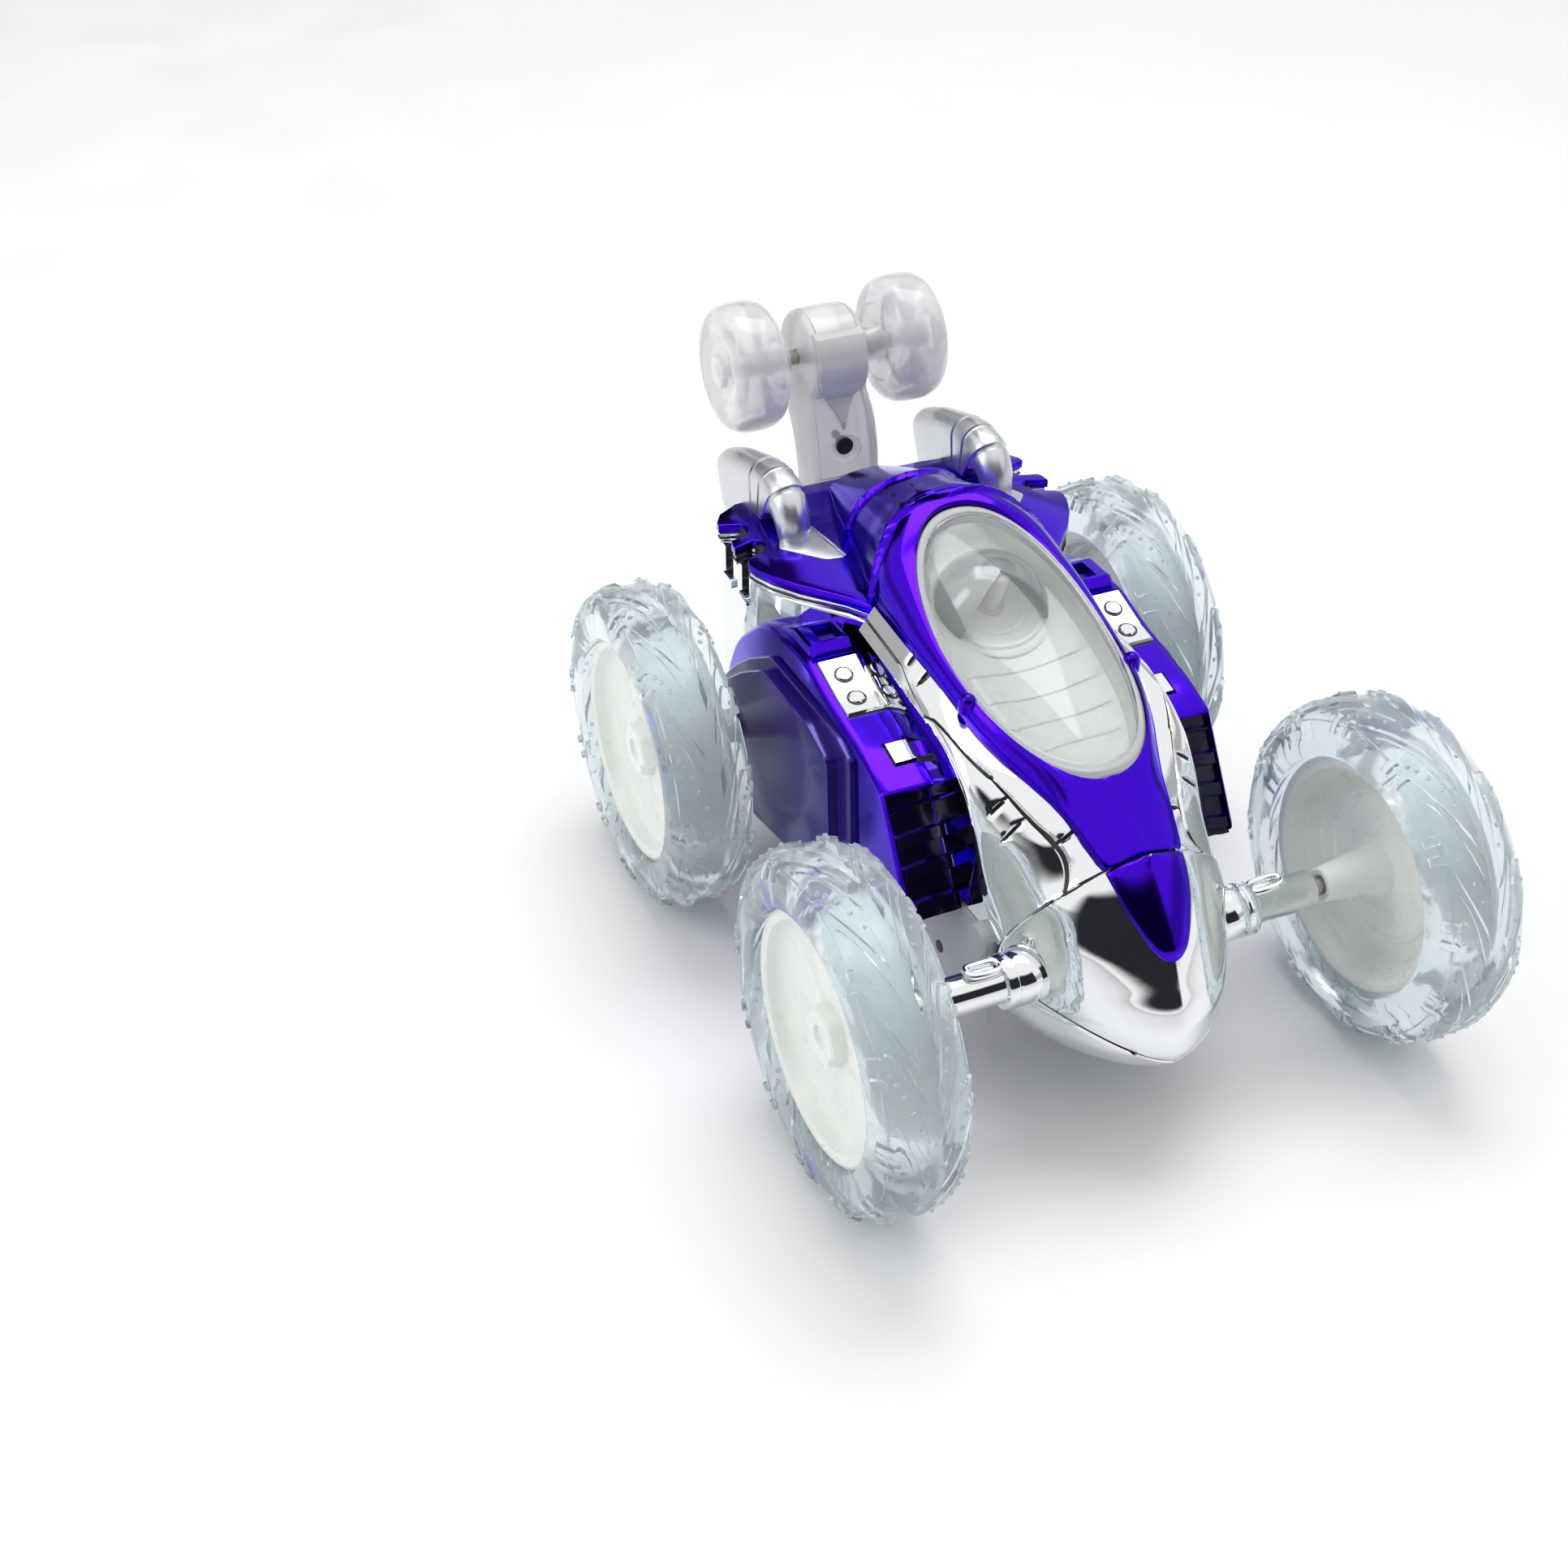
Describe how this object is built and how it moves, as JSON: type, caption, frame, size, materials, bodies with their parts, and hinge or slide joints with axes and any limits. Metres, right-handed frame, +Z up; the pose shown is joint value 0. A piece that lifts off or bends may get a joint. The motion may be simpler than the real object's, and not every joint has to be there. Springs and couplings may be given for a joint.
{
  "type": "rc stunt car",
  "caption": "Small radio-controlled tumbling stunt car with large clear tyres, separately geared rear wheels, canopy and a tail arm with two small wheels.",
  "frame": {"origin": "on the ground under the middle of the whole car's box", "axes": "+X towards the car's left, +Y back towards the tail arm (the nose points to -Y), +Z up"},
  "size_m": [0.1328, 0.1844, 0.111],
  "materials": {
    "chrome": "vacuum-plated chrome on moulded plastic, mirror bright",
    "purple": "deep purple metallised plastic with a clear gloss coat",
    "silver": "satin silver paint on moulded plastic",
    "hub": "milky cream plastic, lets a little light through",
    "tyre": "soft clear plastic with a faint blue tint, glossy",
    "frosted": "frosted clear plastic",
    "canopy": "clear moulded plastic, glossy",
    "white": "white moulded plastic",
    "chassis": "grey moulded plastic, fine spark texture",
    "steel": "plain drawn steel",
    "board": "green circuit board with solder mask",
    "battery": "blue heat-shrunk wrap",
    "gear": "natural nylon",
    "black": "black moulded plastic",
    "brass": "turned brass"
  },
  "bodies": {
    "car_body": {"nose_cover": "chrome", "nose_lower": "chrome", "front_axle_beam": "chrome", "body_shell": "chrome", "rear_housing": "chrome", "nose_stripe": "purple", "spine_cover": "purple", "rear_deck": "purple", "chassis_tray": "chassis", "front_axle": "steel", "tail_arm_screw": "steel", "tail_axle": "steel", "cockpit_insert": "white", "cockpit_lamp": "white", "canopy": "canopy", "cockpit_dome": "canopy", "tail_arm_front": "frosted", "tail_arm_back": "frosted", "battery_pack": "battery", "circuit_board": "board", "charging_socket": "black", "pod_shell_left": "purple", "pod_side_plate_left": "purple", "pod_badge_left": "chrome", "pod_latch_left": "chrome", "exhaust_left": "silver", "motor_left": "steel", "compound_pin_left": "steel", "gear_plate_left": "white", "rear_bush_left": "brass", "pod_shell_right": "purple", "pod_side_plate_right": "purple", "pod_badge_right": "chrome", "pod_latch_right": "chrome", "exhaust_right": "silver", "motor_right": "steel", "compound_pin_right": "steel", "gear_plate_right": "white", "rear_bush_right": "brass"},
    "front_wheel_left": {"wheel_hub_front_left": "hub", "tyre_front_left": "tyre"},
    "rear_wheel_left": {"wheel_hub_rear_left": "hub", "tyre_rear_left": "tyre", "rear_shaft_left": "steel", "final_gear_left": "gear"},
    "idler_left": {"compound_gear_left": "gear"},
    "pinion_left": {"motor_pinion_left": "brass"},
    "small_wheel_left": {"tail_wheel_left": "frosted"},
    "front_wheel_right": {"wheel_hub_front_right": "hub", "tyre_front_right": "tyre"},
    "rear_wheel_right": {"wheel_hub_rear_right": "hub", "tyre_rear_right": "tyre", "rear_shaft_right": "steel", "final_gear_right": "gear"},
    "idler_right": {"compound_gear_right": "gear"},
    "pinion_right": {"motor_pinion_right": "brass"},
    "small_wheel_right": {"tail_wheel_right": "frosted"},
    "switch_slider": {"power_switch": "black"},
    "battery_door": {"battery_cover": "chassis", "battery_cover_screw": "steel"}
  },
  "joints": [
    {"name": "front_wheel_spin_left", "type": "hinge", "parent": "car_body", "child": "front_wheel_left", "pos_m": [0.0572, -0.0572, 0.035], "axis": [1, 0, 0], "continuous": true},
    {"name": "rear_wheel_spin_left", "type": "hinge", "parent": "car_body", "child": "rear_wheel_left", "pos_m": [0.0557, 0.0392, 0.035], "axis": [1, 0, 0], "continuous": true},
    {"name": "idler_spin_left", "type": "hinge", "parent": "car_body", "child": "idler_left", "pos_m": [0.0307, 0.02887, 0.03982], "axis": [1, 0, 0], "continuous": true},
    {"name": "pinion_spin_left", "type": "hinge", "parent": "car_body", "child": "pinion_left", "pos_m": [0.0289, 0.01928, 0.04331], "axis": [1, 0, 0], "continuous": true},
    {"name": "small_wheel_spin_left", "type": "hinge", "parent": "car_body", "child": "small_wheel_left", "pos_m": [0.0186, 0.0784, 0.0972], "axis": [1, 0, 0], "continuous": true},
    {"name": "front_wheel_spin_right", "type": "hinge", "parent": "car_body", "child": "front_wheel_right", "pos_m": [-0.0572, -0.0572, 0.035], "axis": [1, 0, 0], "continuous": true},
    {"name": "rear_wheel_spin_right", "type": "hinge", "parent": "car_body", "child": "rear_wheel_right", "pos_m": [-0.0557, 0.0392, 0.035], "axis": [1, 0, 0], "continuous": true},
    {"name": "idler_spin_right", "type": "hinge", "parent": "car_body", "child": "idler_right", "pos_m": [-0.0307, 0.02887, 0.03982], "axis": [1, 0, 0], "continuous": true},
    {"name": "pinion_spin_right", "type": "hinge", "parent": "car_body", "child": "pinion_right", "pos_m": [-0.0289, 0.01928, 0.04331], "axis": [1, 0, 0], "continuous": true},
    {"name": "small_wheel_spin_right", "type": "hinge", "parent": "car_body", "child": "small_wheel_right", "pos_m": [-0.0186, 0.0784, 0.0972], "axis": [1, 0, 0], "continuous": true},
    {"name": "switch_slide", "type": "slide", "parent": "car_body", "child": "switch_slider", "axis": [0, 1, 0], "range_m": [0, 0.003]},
    {"name": "battery_door_lift", "type": "slide", "parent": "car_body", "child": "battery_door", "axis": [0, 0, -1], "range_m": [0, 0.012]}
  ],
  "couplings": [
    {"joint": "idler_spin_left", "follows": "rear_wheel_spin_left", "ratio": -2.8},
    {"joint": "pinion_spin_left", "follows": "rear_wheel_spin_left", "ratio": 9.1},
    {"joint": "idler_spin_right", "follows": "rear_wheel_spin_right", "ratio": -2.8},
    {"joint": "pinion_spin_right", "follows": "rear_wheel_spin_right", "ratio": 9.1}
  ]
}
